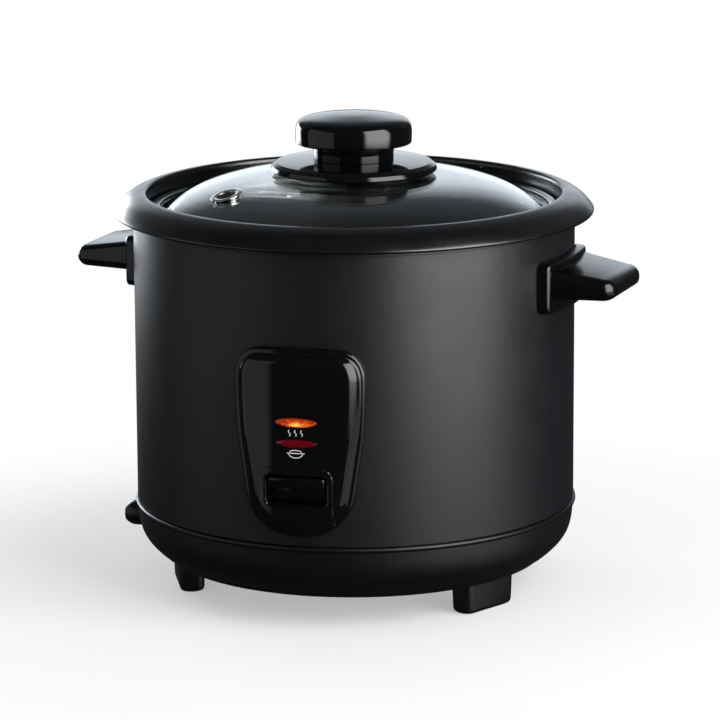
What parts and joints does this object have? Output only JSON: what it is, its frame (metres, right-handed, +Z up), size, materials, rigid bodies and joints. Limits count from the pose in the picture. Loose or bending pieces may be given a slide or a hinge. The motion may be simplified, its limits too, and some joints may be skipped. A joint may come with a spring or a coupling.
{
  "type": "rice cooker",
  "caption": "Round rice cooker with a dark shell, domed glass lid with a knob, side handles, a control panel with a switch key and two lamps, and a lift-out pot over a heating plate.",
  "frame": {"origin": "middle of the underside of the feet, on the cooker's axis", "axes": "+Z up along the cooker's axis, -Y towards the control panel, +X towards the right handle as seen from the front"},
  "size_m": [0.2884, 0.2388, 0.2385],
  "materials": {
    "lid_glass": "clear tempered glass",
    "polished_steel": "polished rolled steel",
    "black_gloss": "glossy black moulded plastic",
    "black_satin": "satin black moulded plastic",
    "shell_paint": "fine-grained satin charcoal paint",
    "ring_paint": "satin black paint",
    "base_paint": "satin charcoal paint",
    "cover_steel": "galvanised sheet",
    "liner_aluminium": "spun aluminium sheet",
    "cast_aluminium": "turned cast aluminium",
    "non_stick": "speckled dark non-stick coating",
    "amber_lens": "clear amber lens, lit",
    "red_lens": "clear dark red lens, unlit",
    "lamp_glass": "small neon lamp",
    "silicone": "translucent silicone",
    "plated_screw": "zinc plated",
    "spring_steel": "bright drawn steel",
    "plated_steel": "zinc plated sheet",
    "ferrite": "sintered ferrite",
    "phenolic": "moulded phenolic",
    "steatite": "unglazed steatite",
    "red_insulation": "silicone insulation",
    "blue_insulation": "silicone insulation",
    "white_insulation": "braided sleeve"
  },
  "bodies": {
    "root": {"handle_right": "black_gloss", "handle_left": "black_gloss", "control_panel": "black_gloss", "foot_front_left": "black_satin", "foot_front_right": "black_satin", "foot_rear": "black_satin", "cord_gland": "black_satin", "gland_nut": "black_satin", "outer_shell": "shell_paint", "top_ring": "ring_paint", "base_shell": "base_paint", "bottom_cover": "cover_steel", "inner_liner": "liner_aluminium", "heating_plate": "cast_aluminium", "warm_lens": "amber_lens", "cook_lens": "red_lens", "warm_lamp": "lamp_glass", "cook_lamp": "lamp_glass", "foot_screw_front_left": "plated_screw", "foot_screw_front_right": "plated_screw", "foot_screw_rear": "plated_screw", "cover_screw_1": "plated_screw", "cover_screw_2": "plated_screw", "cover_screw_3": "plated_screw", "handle_right_screw_1": "plated_screw", "handle_right_screw_2": "plated_screw", "handle_left_screw_1": "plated_screw", "handle_left_screw_2": "plated_screw", "lever_pin": "spring_steel", "heater_terminal_left": "spring_steel", "heater_terminal_right": "spring_steel", "lever_bracket": "plated_steel", "sensor_guide": "plated_steel", "plate_support_1": "plated_steel", "plate_support_2": "plated_steel", "plate_support_3": "plated_steel", "microswitch": "phenolic", "terminal_block": "steatite", "thermal_fuse": "steatite", "keep_warm_thermostat": "steatite", "wire_live": "red_insulation", "wire_neutral": "blue_insulation", "wire_heater": "white_insulation"},
    "lid": {"lid_glass": "lid_glass", "lid_band": "polished_steel", "steam_vent": "polished_steel", "knob": "black_gloss", "knob_disc": "black_gloss", "knob_gasket": "silicone", "knob_screw": "plated_screw"},
    "pot": {"inner_pot": "non_stick"},
    "lever": {"lever_key": "black_gloss", "lever_arm": "plated_steel"},
    "plunger": {"switch_plunger": "steatite"},
    "magnet": {"magnet": "ferrite", "magnet_rod": "spring_steel", "magnet_spring": "spring_steel"},
    "sensor": {"sensor_cap": "liner_aluminium", "sensor_ferrite": "ferrite", "sensor_spring": "spring_steel"}
  },
  "joints": [
    {"name": "pot_lift", "type": "slide", "parent": "root", "child": "pot", "axis": [0, 0, 1], "range_m": [0, 0.13]},
    {"name": "lid_lift", "type": "slide", "parent": "pot", "child": "lid", "axis": [0, 0, 1], "range_m": [0, 0.08]},
    {"name": "cook_switch", "type": "hinge", "parent": "root", "child": "lever", "pos_m": [0, -0.042, 0.0715], "axis": [1, 0, 0], "range_deg": [0, 5], "stiffness_Nm_per_rad": 0.3, "springref_deg": -8.59},
    {"name": "plunger_press", "type": "slide", "parent": "root", "child": "plunger", "axis": [0, 0, -1], "range_m": [0, 0.0014]},
    {"name": "magnet_lift", "type": "slide", "parent": "root", "child": "magnet", "axis": [0, 0, 1], "range_m": [0, 0.0037], "deforming": ["magnet_spring"]},
    {"name": "sensor_rise", "type": "slide", "parent": "root", "child": "sensor", "axis": [0, 0, 1], "range_m": [0, 0.004], "deforming": ["sensor_spring"]}
  ],
  "couplings": [
    {"joint": "plunger_press", "follows": "cook_switch", "m_per_rad": 0.015},
    {"joint": "magnet_lift", "follows": "cook_switch", "m_per_rad": 0.042},
    {"joint": "sensor_rise", "follows": "pot_lift", "ratio": 0.0307}
  ]
}
